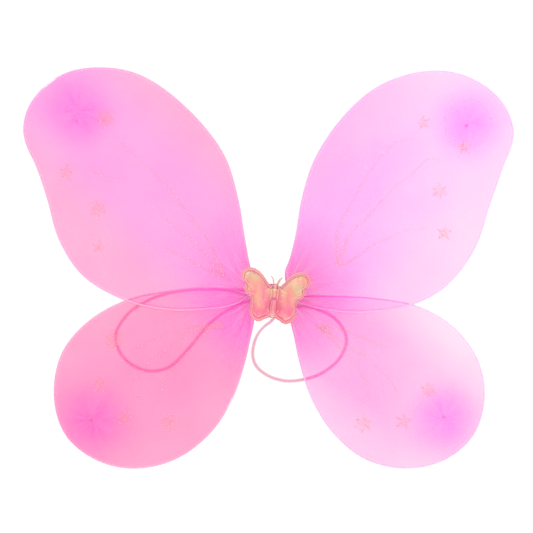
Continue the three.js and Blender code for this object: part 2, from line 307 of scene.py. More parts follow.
def walk_rings(node, start):
    """Centres of a swept CAD node's four-cornered rings, in order from the end at `start`."""
    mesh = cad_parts[node].data
    corners = [tuple(np.round(np.array(v.co) / MM, 3)) for v in mesh.vertices]
    joined = {corner: set() for corner in corners}
    for edge in mesh.edges:
        a, b = (corners[k] for k in edge.vertices)
        joined[a].add(b)
        joined[b].add(a)
    ring = set(sorted(joined, key=lambda corner: math.dist(corner, start))[:4])
    seen, centres = set(), []
    while ring:
        centres.append(np.mean(sorted(ring), axis=0))
        seen |= ring
        ring = {near for corner in ring for near in joined[corner]} - seen
    return np.array(centres)


def in_order(centres, start, heading):
    """Ring centres in order along their curve, setting out from `start` towards `heading`."""
    left, line = list(centres), [np.asarray(start, float)]
    heading = unit(np.asarray(heading, float))
    while left:
        steps = [c - line[-1] for c in left]
        costs = [np.linalg.norm(s) * (2 - unit(s) @ heading) for s in steps]
        best = int(np.argmin(costs))
        heading = unit(steps[best])
        line.append(left.pop(best))
    return np.array(line[1:])


class Lobe:
    """One lobe's places: its tie, its knot, its plane and the centre line of its wire loop."""

    def __init__(self, name):
        self.name = name
        self.tie = centre(f"{name}_root_tie")
        self.root = self.tie[[0, 2]]
        self.knot = centre(f"{name}_tip_knot")[[0, 2]]
        self.gather = self.knot + np.array(GATHER_OFFSETS[name])
        self.y = self.tie[1]
        self.side = 1 if self.tie[0] > 0 else -1
        self.up = 1 if self.tie[2] > 0 else -1
        tail_reach, ring_reach = 11.0, 1.3
        rings = ring_centres(f"{name}_wire", ring_reach, lambda c: np.linalg.norm(c - self.tie) > tail_reach)
        line = in_order(rings, self.tie, (0, 0, self.up))[:, [0, 2]]
        fork = self.root + np.array([self.side * FORK, 0])
        leg = np.array([0, self.up * TWIST])
        self.line = spline(np.vstack([fork + leg, line, fork - leg]), 420)
        self.seed = LOBES.index(name) * 17.3  # sets its folds apart from the other lobes'

    def printed(self, p):
        """How strongly the glue of the glitter print stains each plane point, from 0 to 1."""
        veins, motifs = PRINTS[self.name]
        strength = np.zeros(len(p))
        worn = np.interp(lengths(p - self.root), [30, 130], [0.65, 0.25])
        for vein in veins:
            strength = np.maximum(strength, worn * bell(edge_distance(p, spline(vein, 60)), PRINT))
        for kind, x, z, size in motifs:
            far, angle = polar(p - np.array([x, z]))
            reach = far / motif_radius(kind, size, angle, x)
            strength = np.maximum(strength, 0.85 * (1 - smooth_step(reach, 0.3, 1.3)))
        return strength

    def outline(self):
        """The nylon's outer edge, outside the wire by RIM, with its tip's index."""
        out = right_of(self.line)
        if np.sum(out * (self.line - self.line.mean(axis=0))) < 0:
            out = -out
        edge = self.line + RIM * out
        return edge, int(np.argmax(lengths(edge - self.root)))

    def ripple(self, p):
        """Slow waves of the stretched nylon, drawn out from the root towards the tip."""
        axis = unit(self.knot - self.root)
        away = p - self.root
        along, across = away @ axis, away @ np.array([-axis[1], axis[0]])
        waves = [noise.noise((a / 90, c / 26, self.seed)) for a, c in zip(along, across)]
        return 0.5 * np.array(waves) * np.clip(lengths(away) / 60, 0, 1)

    def depth(self, p, layer, thickness):
        """Depth of the front (-1) or back (1) layer at plane points `p`.

        The layers are pinched together and pulled back at the knot, and puckered round the gather.
        """
        from_knot = lengths(p - self.knot)
        pinch = 1 - 0.7 * bell(from_knot, 4.5)
        pull = 0.7 * bell(from_knot, 9)
        from_gather, angle = polar(p - self.gather)
        folds = np.cos(9 * angle + self.seed) + 0.6 * np.cos(5 * angle - 1.3 * self.seed)
        pucker = 0.3 * folds * bell(from_gather, 13) * (1 - bell(from_gather, 3))
        return self.y + pull + self.ripple(p) + layer * (thickness * pinch + pucker)


def edge_distance(points, edge):
    """Distance of each point to a polyline."""
    a, b = edge[:-1], edge[1:]
    span = b - a
    length2 = np.maximum((span**2).sum(axis=1), 1e-12)
    nearest = np.full(len(points), np.inf)
    for start in range(0, len(points), 2000):
        chunk = points[start:start + 2000, None, :]
        t = np.clip(((chunk - a) * span).sum(axis=2) / length2, 0, 1)
        gap = np.linalg.norm(chunk - (a + t[..., None] * span), axis=2)
        nearest[start:start + 2000] = gap.min(axis=1)
    return nearest


def within(points, loop):
    """Which points lie inside a closed loop."""
    a, b = loop, np.roll(loop, -1, axis=0)
    slope = (b[:, 0] - a[:, 0]) / np.where(b[:, 1] == a[:, 1], 1, b[:, 1] - a[:, 1])
    inside = np.zeros(len(points), bool)
    for start in range(0, len(points), 2000):
        x, z = (axis[:, None] for axis in points[start:start + 2000].T)
        spans = (a[:, 1] > z) != (b[:, 1] > z)
        inside[start:start + 2000] = (spans & (x < a[:, 0] + slope * (z - a[:, 1]))).sum(axis=1) % 2 == 1
    return inside


# ---- materials ----
class Value:
    """A shader node's output that adds, subtracts and multiplies like a number."""

    def __init__(self, socket):
        self.socket = socket

    def __add__(self, other):
        return calc("ADD", self, other)

    def __sub__(self, other):
        return calc("SUBTRACT", self, other)

    def __rsub__(self, other):
        return calc("SUBTRACT", other, self)

    def __mul__(self, other):
        return calc("MULTIPLY", self, other)

    def __abs__(self):
        return calc("ABSOLUTE", self)

    __radd__ = __add__
    __rmul__ = __mul__


def new_material(name):
    made = bpy.data.materials.new(name)
    made.use_nodes = True
    made.node_tree.nodes.clear()
    return made, made.node_tree


def finish(made, shader):
    put(made.node_tree, "OutputMaterial", {"Surface": shader})
    return made


def connect(made, socket, value):
    if isinstance(value, Value):
        made.id_data.links.new(value.socket, made.inputs[socket])
    else:
        made.inputs[socket].default_value = value


def put(tree, kind, inputs=None, output=0, **settings):
    """Adds a shader node, links or sets its inputs, and returns one of its outputs."""
    made = tree.nodes.new("ShaderNode" + kind)
    for key, value in settings.items():
        setattr(made, key, value)
    for socket, value in (inputs or {}).items():
        connect(made, socket, value)
    return Value(made.outputs[output]) if made.outputs else None


def calc(operation, *terms):
    """A sum on values and plain numbers, at least one of them a value."""
    tree = next(term.socket.id_data for term in terms if isinstance(term, Value))
    return put(tree, "Math", dict(enumerate(terms)), operation=operation)


def ramp(tree, factor, stops):
    """A colour ramp from [(place, colour), ...]."""
    out = put(tree, "ValToRGB", {"Fac": factor})
    elements = out.socket.node.color_ramp.elements
    for place, colour in stops[1:-1]:
        elements.new(place)
    for element, (place, colour) in zip(elements, stops):
        element.position = place
        element.color = (*colour, 1)
    return out


def mix(tree, factor, a, b):
    """A colour between a and b, each a value or (red, green, blue)."""
    made = tree.nodes.new("ShaderNodeMix")
    made.data_type = "RGBA"
    for socket, value in ((0, factor), (6, a), (7, b)):
        connect(made, socket, (*value, 1) if isinstance(value, tuple) else value)
    return Value(made.outputs[2])


def place(tree):
    """The shaded point in the part's own frame, in millimetres."""
    raw = put(tree, "TexCoord", output=3)
    return put(tree, "VectorMath", {0: raw, 3: 1 / MM}, operation="SCALE")


def mark(tree, name):
    """What `paint` stored under a name."""
    return put(tree, "Attribute", output=2, attribute_name=name)


def noise_at(tree, vector, scale, detail=3.0, roughness=0.5):
    inputs = {"Vector": vector, "Scale": scale, "Detail": detail, "Roughness": roughness}
    return put(tree, "TexNoise", inputs)


def bands(tree, vector, scale, distortion, direction="X"):
    waves = {"Vector": vector, "Scale": scale, "Distortion": distortion, "Detail": 1.0}
    return put(tree, "TexWave", waves, output=1, bands_direction=direction)


def bump(tree, height, strength, distance):
    return put(tree, "Bump", {"Height": height, "Strength": strength, "Distance": distance * MM})


def fade(tree, value, low, high, start, end):
    """Maps value from low..high to start..end with a smooth step."""
    span = {"Value": value, "From Min": low, "From Max": high, "To Min": start, "To Max": end}
    return put(tree, "MapRange", span, interpolation_type="SMOOTHERSTEP")


def along_axis(tree, at, axis):
    return put(tree, "VectorMath", {0: at, 1: tuple(axis)}, output=1, operation="DOT_PRODUCT")


def distance(tree, away):
    return put(tree, "VectorMath", {0: away}, output=1, operation="LENGTH")


def scaled(tree, at, factors):
    return put(tree, "VectorMath", {0: at, 1: factors}, operation="MULTIPLY")


def streaks(tree, at, point, fineness, seed):
    """Streaks that run straight out from a point of the lobe's plane, and the distance from it."""
    away = put(tree, "VectorMath", {0: at, 1: (point[0], 0, point[1])}, operation="SUBTRACT")
    x, z = (put(tree, "SeparateXYZ", {0: away}, output=axis) for axis in (0, 2))
    far = distance(tree, away)
    spot = put(tree, "CombineXYZ", {0: calc("ARCTAN2", z, x), 1: 0.004 * far, 2: seed})
    return noise_at(tree, spot, fineness, 4.0, 0.6), far


def nylon(lobe, name, open_cover_and_light, tied_cover, colours):
    """Sheer nylon: yarn that covers part of each point and lets the rest through.

    `open_cover_and_light` is the share that both layers together cover at two distances from the middle, as
    (distance, share) pairs, and how much less they cover towards the rim. Where that share falls with the
    distance, as on
    the right lobes, it is painted light: that side looks paler because it is lit brighter, not because its
    yarn is thinner.
    `tied_cover` is the share at the root and at the gather. `colours` is the yarn at the root, in the open,
    near the rim and at the gather.
    """
    made, tree = new_material(name)
    at = place(tree)
    root_streaks, root_far = streaks(tree, at, lobe.root, 9.0, lobe.seed)
    knot_streaks, knot_far = streaks(tree, at, lobe.gather, 5.0, lobe.seed + 4)
    near_root = fade(tree, root_far, 8, 112, 1, 0)
    near_knot = fade(tree, knot_far, 0, 60, 1, 0)
    x, z = unit(lobe.gather - lobe.root)
    off_axis = abs(along_axis(tree, at, (-z, 0, x)) - float(lobe.root @ np.array([-z, x])))
    outer = fade(tree, off_axis, 20, 95, 0, 1)
    edge, stain, lapped = (mark(tree, name) for name in ("near_rim", "stain", "lapped"))

    (near, near_share), (far, far_share), rim_drop = open_cover_and_light
    # Cover by distance across from the middle. On the right lobes it falls off outwards: painted light, for
    # the brighter light on the right side.
    amount = fade(tree, abs(put(tree, "SeparateXYZ", {0: at})), near, far, near_share, far_share)
    for share, weight in zip(tied_cover, (near_root, near_knot)):
        amount = amount + weight * (share - amount)
    root_lines = (root_streaks - 0.5) * fade(tree, root_far, 6, 75, 0.5, 0.03)
    knot_lines = (knot_streaks - 0.5) * fade(tree, knot_far, 0, 40, 0.35, 0.0)
    lines = root_lines + knot_lines
    cloud = noise_at(tree, at, 0.018, 2.0) - 0.5
    weave = noise_at(tree, scaled(tree, at, (2.6, 0.4, 2.6)), 1.0, 2.0, 0.7)
    amount = amount - rim_drop * outer + lines + 0.1 * cloud + 0.09 * (weave - 0.5) + 0.1 * stain
    amount = amount * (1 - 0.2 * edge) * (1 - 0.68 * lapped)
    amount = put(tree, "Clamp", {"Value": amount, "Min": 0.05, "Max": 0.96})
    layer = 1 - calc("SQRT", 1 - amount)

    colour = mix(tree, outer, colours[1], colours[2])
    colour = mix(tree, near_root, colour, colours[0])
    colour = mix(tree, near_knot, colour, colours[3])
    colour = mix(tree, 0.6 * stain, colour, (0.97, 0.2, 0.36))
    normal = bump(tree, 1.6 * lines + 0.08 * weave, 0.5, 1.2)
    yarn = put(tree, "BsdfPrincipled", {
        "Base Color": colour, "Roughness": 0.55, "Specular IOR Level": 0.25, "Sheen Weight": 0.2,
        "Sheen Roughness": 0.4, "Normal": normal})
    return finish(made, see_through(tree, layer, 0.25, yarn, colour, normal))


def see_through(tree, cover, glow, surface, colour, normal):
    """A surface that covers a share of each point, and lets some light through where it does."""
    lit = put(tree, "BsdfTranslucent", {"Color": colour, "Normal": normal})
    cloth = put(tree, "MixShader", {0: glow, 1: surface, 2: lit})
    return put(tree, "MixShader", {0: cover, 1: put(tree, "BsdfTransparent"), 2: cloth})


def woven(name, colour, dark, scale, roughness=0.85, depth=0.25, sheen=0.3):
    """A fine cloth, tape or thread: crossed yarns with colour variation and bump."""
    made, tree = new_material(name)
    at = place(tree)
    cloth = bands(tree, at, scale, 0.8) * bands(tree, at, scale, 0.8, "Z")
    fuzz = noise_at(tree, at, 1.4, 4.0)
    shade = mix(tree, fade(tree, 0.6 * cloth + 0.5 * fuzz, 0.1, 0.8, 0, 1), dark, colour)
    return finish(made, put(tree, "BsdfPrincipled", {
        "Base Color": shade, "Roughness": roughness, "Sheen Weight": sheen, "Specular IOR Level": 0.3,
        "Normal": bump(tree, cloth + 0.6 * fuzz, 0.6, depth)}))


def coated_wire():
    made, tree = new_material("coated_wire")
    at = place(tree)
    wear = noise_at(tree, at, 0.35, 4.0)
    colour = mix(tree, fade(tree, wear, 0.35, 0.7, 0, 1), (1.0, 0.8, 0.95), (1.0, 0.7, 0.9))
    return finish(made, put(tree, "BsdfPrincipled", {
        "Base Color": colour, "Roughness": fade(tree, wear, 0.3, 0.7, 0.3, 0.5), "Metallic": 0.15,
        "Coat Weight": 0.4, "Normal": bump(tree, noise_at(tree, at, 3.0, 2.0), 0.15, 0.1)}))


def iridescent_film(name, butterfly=None):
    """Wrinkled film that shifts between salmon, peach, yellow-green and pink, also with the angle."""
    made, tree = new_material(name)
    at = place(tree)
    stretch = scaled(tree, at, (1.0, 1.0, 0.6))
    patch = noise_at(tree, stretch, 0.085, 2.5, 0.5)
    facing = put(tree, "LayerWeight", {"Blend": 0.3}, output=1)
    shift = 0.25 * facing + 1.5 * patch - 0.35
    if butterfly:
        height = along_axis(tree, at, butterfly.up) - float(butterfly.origin @ butterfly.up)
        shift = shift + fade(tree, height, -20, 18, -0.28, 0.1)
    colour = ramp(tree, shift, [
        (0.0, (0.80, 0.13, 0.24)), (0.2, (0.86, 0.21, 0.30)), (0.38, (0.84, 0.30, 0.25)),
        (0.52, (0.80, 0.38, 0.27)), (0.66, (0.68, 0.50, 0.27)), (0.78, (0.80, 0.38, 0.28)),
        (0.95, (0.76, 0.26, 0.42))])
    if butterfly:
        relief = mark(tree, "relief")
        for share, tint in (
            (0.45 * mark(tree, "border"), (0.98, 0.38, 0.4)),
            # Painted shade where the relief dips into a crease, and painted highlight where it rises to a
            # ridge.
            (fade(tree, relief, -0.02, -0.22, 0, 0.45), (0.64, 0.1, 0.16)),
            (fade(tree, relief, 0.03, 0.2, 0, 0.65), (1.0, 0.72, 0.66)),
            # Painted highlight: a pale line beside each seam.
            (0.55 * mark(tree, "welt"), (1.0, 0.62, 0.56)),
            (0.75 * mark(tree, "seam"), (0.62, 0.06, 0.14)),
            (0.8 * mark(tree, "tack"), (0.72, 0.1, 0.4)),
        ):
            colour = mix(tree, share, colour, tint)
    return finish(made, put(tree, "BsdfPrincipled", {
        "Base Color": colour, "Roughness": 0.26, "Metallic": 0.15, "Coat Weight": 0.8, "Coat Roughness": 0.12,
        "Thin Film Thickness": 300 * patch + 300, "Thin Film IOR": 1.4,
        "Normal": bump(tree, noise_at(tree, stretch, 0.3, 5.0, 0.65), 0.45, 0.9)}))


def glitter(name, colours):
    """Small bright flakes, each of its own colour."""
    made, tree = new_material(name)
    cell = put(tree, "TexVoronoi", {"Vector": place(tree), "Scale": 0.9}, output=1)
    pick = put(tree, "SeparateColor", {0: cell})
    colour = ramp(tree, pick, [(k / (len(colours) - 1), c) for k, c in enumerate(colours)])
    return finish(made, put(tree, "BsdfPrincipled", {
        "Base Color": colour, "Roughness": 0.28, "Metallic": 0.2, "Coat Weight": 0.4}))


def knitted_elastic():
    """Round elastic cords knitted side by side, with fine stitches across them."""
    made, tree = new_material("knitted_elastic")
    across = mark(tree, "across")
    spot = put(tree, "CombineXYZ", {0: mark(tree, "along"), 1: 2.0 * across, 2: 0.0})
    knit = bands(tree, spot, 0.55, 0.6)
    fuzz = noise_at(tree, place(tree), 1.6, 4.0)
    edge = fade(tree, abs(across), 0.25, 1.0, 0, 1)
    tone = fade(tree, 0.5 * knit + 0.5 * fuzz, 0.15, 0.75, 0, 1)
    colour = mix(tree, edge, mix(tree, tone, (0.72, 0.19, 0.34), (0.86, 0.36, 0.5)), (0.92, 0.54, 0.66))
    normal = bump(tree, knit + 0.7 * fuzz, 0.6, 0.25)
    cord = put(tree, "BsdfPrincipled", {
        "Base Color": colour, "Roughness": 0.75, "Sheen Weight": 0.3, "Normal": normal})
    return finish(made, see_through(tree, fade(tree, edge, 0, 1, 0.5, 0.36), 0.45, cord, colour, normal))


def mottled(name, patches, light, dark, relief, settings):
    """Two tones in soft patches, with bump from the same noise: (scale, detail, roughness)."""
    made, tree = new_material(name)
    tone = noise_at(tree, place(tree), *patches)
    inputs = {"Base Color": mix(tree, tone, light, dark), "Normal": bump(tree, tone, *relief), **settings}
    return finish(made, put(tree, "BsdfPrincipled", inputs))


def pale_floor():
    """A matt floor that fades into an even backdrop far from the wings."""
    made, tree = new_material("pale_floor")
    at = place(tree)
    colour = mix(tree, noise_at(tree, at, 0.02, 3.0), (0.97, 0.97, 0.97), (0.94, 0.94, 0.94))
    lift = put(tree, "Emission", {"Color": (1, 1, 1, 1), "Strength": 0.3})
    near = put(tree, "AddShader", {0: put(tree, "BsdfDiffuse", {"Color": colour}), 1: lift})
    backdrop = put(tree, "Emission", {"Color": (1, 1, 1, 1), "Strength": BACKDROP})
    far = fade(tree, distance(tree, at), 900, 2000, 0, 1)
    return finish(made, put(tree, "MixShader", {0: far, 1: near, 2: backdrop}))


# ---- nylon lobes and wires ----
def build_wire(lobe, look):
    """The loop as one smooth wire, whose two ends twist together into the tail."""
    x, y, z = lobe.tie + np.array([lobe.side * FORK, 0, 0])
    share = np.linspace(0, 1, 40)
    across = x + (lobe.side * TAIL_END - x) * share
    tails = []
    for start in (1, -1):
        angle = lobe.up * start * math.pi / 2 + 3 * math.pi * share
        tails.append(np.stack([across, y + TWIST * np.cos(angle), z + TWIST * np.sin(angle)], axis=1))
    loop = np.stack([lobe.line[:, 0], np.full(len(lobe.line), lobe.y), lobe.line[:, 1]], axis=1)
    path = np.vstack([tails[0][::-1], loop[3:-3], tails[1]])
    points, faces = sweep(path, circle(WIRE, 10), (0, 1, 0))
    piece = add_mesh(f"{lobe.name}_rim_wire", points, faces, look, "wire", lobe.name)
    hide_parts(f"{lobe.name}_wire")


def build_cover(lobe, look, above):
    """Both nylon layers as one closed sleeve, pleated into the root tie and pinched at the tip knot.

    `above` is the lobe that laps over this one, if any.
    """
    edge, tip = lobe.outline()
    x, z = lobe.root
    step = int(len(edge) * 0.012)
    sides = []
    for sign, run in ((lobe.up, edge[step:tip + 1]), (-lobe.up, edge[tip:-step][::-1])):
        mouth = [(x + lobe.side * out, z + sign * half) for out, half in MOUTH]
        sides.append(spline(np.vstack([mouth, run[::6], run[-1:]]), 500))
    share = np.linspace(0, 1, ROWS)
    shares = 0.55 * (1 - np.cos(math.pi * share)) / 2 + 0.45 * share ** 1.3
    left, right = (resample(side, shares) for side in sides)
    width = lengths(right - left)
    far = lengths((left + right) / 2 - lobe.root)
    rows = []
    for w in width:
        near = np.array(BRIM) * min(1.0, w / 16)
        middle = np.linspace(near[-1], w - near[-1], COLUMNS - 2 * len(BRIM) + 2)[1:-1]
        rows.append(np.concatenate([near, middle, (w - near)[::-1]]) / max(w, 1e-9))
    across = np.array(rows)
    flat = (left[:, None] + (right - left)[:, None] * across[..., None]).reshape(-1, 2)
    inset = edge_distance(flat, np.vstack([sides[0], sides[1][::-1]])).reshape(ROWS, COLUMNS)
    bunch = np.interp(far, [0, 2.5, 9, 18], [1.85, 2.2, 1.5, RIM])
    bunch[:4] = np.maximum(bunch[:4], width[:4] / 2)
    roll = bunch[:, None]
    thickness = roll * np.sqrt(1 - (1 - np.minimum(inset / roll, 1)) ** 2)
    sway = PLEATS * across + 0.3 * np.sin(19 * across + lobe.seed) + 0.25 * np.sin(7 * across)
    folds = np.cos(2 * math.pi * sway) * (0.7 + 0.3 * np.sin(13 * across + lobe.seed))
    strength = np.interp(far, [0, 6, 20, 45, 110], [0.16, 0.3, 0.4, 0.2, 0.0])[:, None]
    pleat = strength * folds * np.clip(inset / 1.6, 0, 1)
    room = np.interp(lengths(flat - lobe.root), [4, 6.5], [3.0, LAYER_ROOM])
    layers = []
    for layer in (-1, 1):
        y = lobe.depth(flat, layer, thickness.ravel()) + layer * pleat.ravel()
        y = np.clip(y, lobe.y - room, lobe.y + room)
        shut = np.clip(thickness.ravel() / 0.5, 0, 1)
        y = np.where(inset.ravel() < 1e-6, lobe.y, lobe.y + (y - lobe.y) * np.maximum(shut, 1e-3))
        layers.append(np.stack([flat[:, 0], y, flat[:, 1]], axis=1))
    for layer in layers:
        grid = layer.reshape(ROWS, COLUMNS, 3)
        grid[:, 0, 1] = grid[:, -1, 1] = lobe.y
        grid[-1, :, 1] = lobe.y
    count = ROWS * COLUMNS
    faces = grid_faces(ROWS, COLUMNS) + grid_faces(ROWS, COLUMNS, count)
    faces += [(j, j + 1, count + j + 1, count + j) for j in range(COLUMNS - 1)]
    points = np.vstack(layers)
    piece = add_mesh(f"{lobe.name}_nylon_sleeve", points, faces, look, "nylon", lobe.name, weld=WELD)
    points = points_of(piece)
    p = points[:, [0, 2]]
    near_rim = bell(edge_distance(p, lobe.line[::2]), 1.3)
    paint(piece, near_rim=near_rim, stain=np.where(points[:, 1] < lobe.y, lobe.printed(p), 0))
    if above:
        inside = smooth_step(edge_distance(p, above.line[::2]), 0, 3)
        paint(piece, lapped=np.where(within(p, above.line), inside, 0))
    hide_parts(f"{lobe.name}_nylon")


def build_tie(lobe, look):
    """Thread wound round the gathered root, with two loose ends."""
    x, y, z = lobe.tie
    turns, half = 4.5, 0.72
    share = np.linspace(0, 1, 110)
    angle = 2 * math.pi * turns * share
    radius = 2.2 + 0.12 * np.sin(angle * 2.3)
    across = x - half + 2 * half * share
    wound = np.stack([across, y + radius * np.cos(angle), z + radius * np.sin(angle)], axis=1)
    parts = [sweep(wound, circle(THREAD, 7), (1, 0, 0))]
    for lean in (-1, 1):
        end = spline([
            (x + lean * 0.5, y + 2.2, z), (x + lean * 0.9, y + 2.9, z - lobe.up * 1.5),
            (x + lobe.side * (1.5 + lean), y + 2.7, z - lobe.up * 4.2)], 12)
        parts.append(sweep(end, circle(THREAD * 0.8, 6), (1, 0, 0)))
    piece = add_mesh(f"{lobe.name}_root_thread", *join(parts), look, "thread", lobe.name)
    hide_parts(f"{lobe.name}_root_tie")


def build_knot(lobe, nylon_look, thread_look):
    """The tuft of nylon tied on the wearer's side near the tip: a thread-bound neck with a ruffled head."""
    x, z = lobe.knot
    base, tall, turns = lobe.y + 0.95, 2.6, 3
    heights = np.linspace(0, 1, 14)
    profile = np.interp(heights, [0, 0.2, 0.36, 0.5, 0.72, 0.9, 1], [1.9, 1.0, 0.8, 1.2, 1.8, 1.6, 0.3])
    turn = full_turn(54)
    rings = []
    for h, r in zip(heights, profile):
        ruffle = 1 + (0.07 + 0.16 * h) * np.cos(9 * turn + lobe.seed + 1.2 * h) + 0.05 * np.cos(4 * turn)
        reach = r * ruffle
        rings.append(flat_ring(x + reach * np.cos(turn), base + tall * h, z + reach * np.sin(turn)))
    piece = add_mesh(f"{lobe.name}_tip_tuft", *tube(rings), nylon_look, "nylon", lobe.name)
    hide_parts(f"{lobe.name}_tip_knot")
    share = np.linspace(0, 1, 60)
    angle = 2 * math.pi * turns * share
    wound = np.stack([x + 1.0 * np.cos(angle), base + 0.75 + 0.55 * share, z + 1.0 * np.sin(angle)], axis=1)
    binding = sweep(wound, circle(0.2, 6), (0, 1, 0))
    add_mesh(f"{lobe.name}_tip_thread", *binding, thread_look, "thread", lobe.name)


# ---- glitter print ----
# Veins and motifs of each lobe, in millimetres across and up. A motif is a star or a flower, its place and
# its radius.
PRINTS = {
    "upper_left": ((
        ((-50, 21), (-60, 42), (-69, 62), (-85, 82), (-98, 99), (-114, 120), (-129, 134), (-146, 150),
         (-159, 160), (-165, 170)),
        ((-52, 21), (-75, 47), (-85, 58), (-102, 73), (-118, 86), (-130, 97)),
        ((-53, 20), (-86, 36), (-112, 49), (-138, 56)),
        ((-193, 133), (-180, 130), (-169, 126)),
    ), (
        ("flower", -181, 193, 10.5), ("star", -224, 134, 9), ("flower", -190, 94, 10),
        ("star", -188, 53, 8),
    )),
    "upper_right": ((
        ((73, 33), (73, 66), (78, 80), (88, 98), (110, 136), (131, 162), (140, 168), (156, 172)),
        ((75, 33), (88, 68), (103, 82), (124, 105), (138, 120), (156, 133), (165, 143), (174, 149),
         (183, 149), (186, 145)),
        ((76, 32), (91, 39), (109, 52), (122, 59), (136, 65), (150, 71), (162, 73), (172, 71), (170, 64)),
    ), (
        ("star", 168, 189, 7.5), ("star", 213, 162, 8.5), ("flower", 186, 114, 8.5), ("star", 191, 68, 9),
    )),
    "lower_left": ((
        ((-54, -32), (-84, -37), (-111, -43), (-128, -50), (-139, -55), (-154, -62)),
        ((-54, -33), (-70, -36), (-95, -47), (-111, -59), (-128, -72), (-143, -85), (-151, -99),
         (-150, -111), (-140, -114)),
        ((-55, -34), (-75, -44), (-89, -59), (-102, -74), (-114, -89), (-119, -102), (-118, -111)),
        ((-165, -67), (-160, -74), (-156, -79)),
    ), (
        ("flower", -172, -50, 11), ("star", -188, -99, 9), ("star", -161, -136, 8.5),
        ("flower", -112, -141, 10),
    )),
    "lower_right": ((
        ((52, -35), (62, -43), (69, -51), (86, -70), (100, -89), (105, -97), (108, -107), (106, -114),
         (99, -117)),
        ((52, -35), (72, -47), (81, -53), (106, -70), (128, -90), (134, -97), (138, -105), (140, -112),
         (132, -118)),
        ((52, -35), (74, -37), (92, -43), (112, -52), (128, -57)),
    ), (
        ("star", 59, -37, 6.5), ("flower", 102, -142, 10), ("star", 146, -139, 9),
        ("flower", 174, -105, 9),
    )),
}


def motif_radius(kind, size, angle, seed):
    """Outline radius of a five-pointed star or a six-petalled flower."""
    turn = angle - math.pi / 2 + 0.15 * math.sin(seed)
    if kind == "star":
        return size * (0.42 + 0.58 * np.abs(np.cos(2.5 * turn)) ** 1.5)
    return size * (0.62 + 0.38 * np.abs(np.cos(3 * turn)))


def flake_places(lobe, chance):
    """Where the flakes of one lobe's print lie on its plane."""
    veins, motifs = PRINTS[lobe.name]
    spots = []
    for vein in veins:
        line = spline(vein, int(run_length(np.array(vein, float)) / FLAKE_GAP))
        for share, spot in zip(np.linspace(0, 1, len(line)), line):
            spread = PRINT * (0.85 - 0.45 * share)
            for _ in range(1 + int(1.8 * (1 - share) ** 3)):
                if chance.random() < 0.84 - 0.45 * share:
                    spots.append(spot + [chance.gauss(0, spread), chance.gauss(0, spread)])
    for kind, x, z, size in motifs:
        points = 5 if kind == "star" else 6
        for _ in range(int(1.5 * size * size)):
            if chance.random() < 0.45:
                angle = math.pi / 2 - 0.15 * math.sin(x) + chance.randrange(points) * 2 * math.pi / points
                angle += chance.gauss(0, 0.06)
            else:
                angle = chance.uniform(0, 2 * math.pi)
            reach = motif_radius(kind, size, np.array(angle), x) * math.sqrt(chance.random())
            spots.append(np.array([x + reach * math.cos(angle), z + reach * math.sin(angle)]))
    return np.array(spots)


def build_glitter(lobe, looks, chance):
    """Flakes glued to the front layer. A few have pale colours, a painted glint for flakes that catch the
    light.
    """
    spots = flake_places(lobe, chance)
    proud = 0.2
    y = lobe.depth(spots, -1, RIM) - proud
    turn = full_turn(6)
    faces = [(k, (k + 1) % 6, 6) for k in range(6)] + [((k + 1) % 6, k, 7) for k in range(6)]
    shapes = {"print": [], "spark": []}
    for (x, z), depth in zip(spots, y):
        size = FLAKE * chance.uniform(0.65, 1.15)
        lean, heading, spin = chance.gauss(0, 0.35), chance.uniform(0, 2 * math.pi), chance.uniform(0, 1)
        tilt = math.sin(lean)
        normal = unit(np.array([tilt * math.cos(heading), -math.cos(lean), tilt * math.sin(heading)]))
        side = unit(np.cross(normal, (0.2, 0.1, 1.0)))
        up = np.cross(normal, side)
        ring = np.cos(turn + spin)[:, None] * side + np.sin(turn + spin)[:, None] * up
        at = np.array([x, depth, z])
        points = np.vstack([at + size * ring, at + 0.3 * size * normal, at - 0.3 * size * normal])
        # About one flake in nine gets the pale colours of a painted glint instead of the print's salmon.
        shapes["spark" if chance.random() < 0.11 else "print"].append((points, faces))
    for kind, parts in shapes.items():
        add_mesh(f"{lobe.name}_glitter_{kind}", *join(parts), looks[kind], "film", lobe.name)


# ---- padded butterfly ----
# Half of its outline, from the head round one wing to the tail: millimetres across and up from its middle.
HALF_BUTTERFLY = (
    (0, 17), (2.3, 16.2), (4.6, 13.9), (8.6, 17.2), (14.2, 23.8), (20.2, 28.9), (27.1, 31.7), (34, 30.8),
    (38.7, 26.5), (39.5, 21.4), (36.9, 16.8), (34.1, 13.8), (34.9, 9.2), (32.6, 4.2), (28, 1.2), (26.4, -4),
    (26.2, -9.8), (26.6, -15), (24.4, -21), (19.4, -25.2), (14.2, -26), (8.6, -23.2), (3.8, -21.2), (0, -21))
PAD_CENTRE = np.array([17.0, 3.0])
CLOTH_LOW, CLOTH_HIGH = np.array([0.0, -29.0]), np.array([43.0, 35.0])  # corners of the simulated sheet
CLOTH = {
    "quality": 6, "mass": 0.2, "tension_stiffness": 30, "compression_stiffness": 30, "shear_stiffness": 10,
    "bending_stiffness": 0.5, "air_damping": 3, "shrink_min": -0.1, "use_pressure": True,
    "uniform_pressure_force": 5}
SEAMS = (1.1, 2.9)  # how far in from the outline the film is sewn
# The pale lines painted here are painted highlights, as if light caught the film where it stands up beside
# each seam.
WELT_HIGHLIGHTS = (0.2, 2.0)  # where it stands up beside a seam
NOTCHES = ((34.1, 13.8), (28.0, 1.2))  # where an outline bay gathers the pad


def sample(grid, low, step, p):
    """Value at each point of a grid of numbers stored by height and then across."""
    spot = np.clip((p - low) / step, 0, np.array(grid.shape[::-1]) - 1.001)
    cell = spot.astype(int)
    (x, y), (u, v) = cell.T, (spot - cell).T
    near = grid[y, x] * (1 - u) + grid[y, x + 1] * u
    far = grid[y + 1, x] * (1 - u) + grid[y + 1, x + 1] * u
    return near * (1 - v) + far * v


